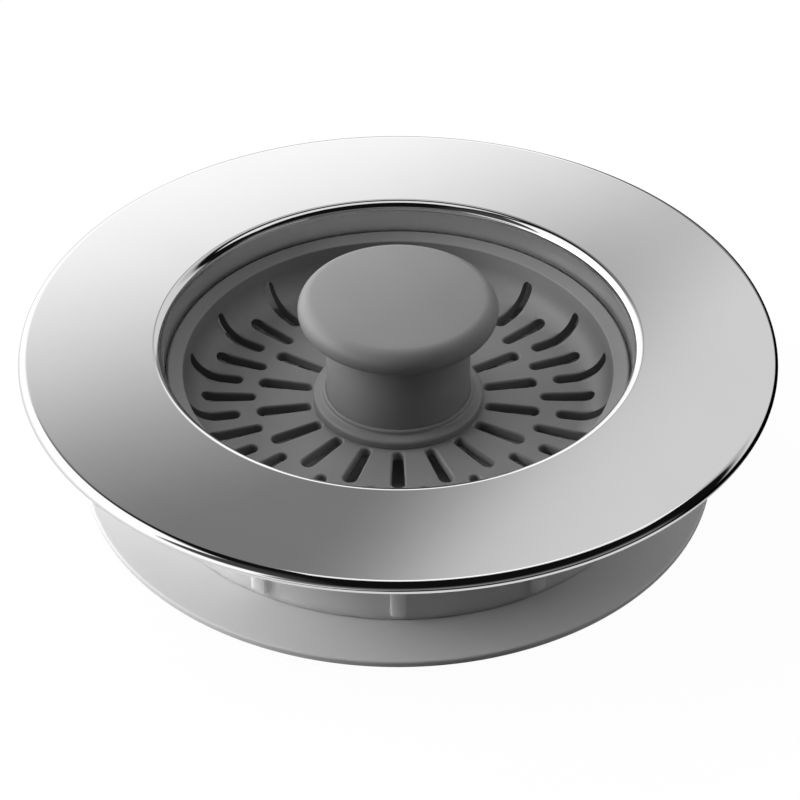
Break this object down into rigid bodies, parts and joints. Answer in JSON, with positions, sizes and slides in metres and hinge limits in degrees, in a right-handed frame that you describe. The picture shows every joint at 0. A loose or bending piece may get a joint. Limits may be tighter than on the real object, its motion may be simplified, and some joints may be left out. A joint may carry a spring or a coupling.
{
  "type": "drain plug",
  "caption": "Push-in sink drain plug: polished flange on a ribbed sleeve with a flexible grip disc, a lift-out slotted strainer basket and a pull-up knob that works a rubber stopper.",
  "frame": {"origin": "centre of the face that the plug stands on, under the clamp of the seat ring", "axes": "+Z along the common axis, from the outlet up to the knob; +Y away from the picture's viewer, with one rib and one inner slot on -Y"},
  "size_m": [0.1142, 0.1142, 0.0322],
  "materials": {
    "polished_metal": "mirror polished",
    "white_plastic": "satin moulded",
    "pale_rubber": "smooth moulded",
    "grey_plastic": "satin moulded",
    "dark_rubber": "matt",
    "plain_steel": "turned"
  },
  "bodies": {
    "drain_body": {"trim_flange": "polished_metal", "flange_gasket": "pale_rubber", "sleeve": "white_plastic", "grip_disc": "pale_rubber", "seat_ring": "white_plastic"},
    "basket": {"strainer_basket": "grey_plastic", "guide_bush": "grey_plastic"},
    "plunger": {"knob": "grey_plastic", "post": "plain_steel", "friction_ring": "dark_rubber", "backing_plate": "grey_plastic", "stopper_seal": "dark_rubber", "stopper_washer": "plain_steel", "stopper_screw": "plain_steel"}
  },
  "joints": [
    {"name": "basket_lift", "type": "slide", "parent": "drain_body", "child": "basket", "axis": [0, 0, 1], "range_m": [0, 0.04]},
    {"name": "knob_lift", "type": "slide", "parent": "basket", "child": "plunger", "axis": [0, 0, 1], "range_m": [0, 0.0044]}
  ]
}
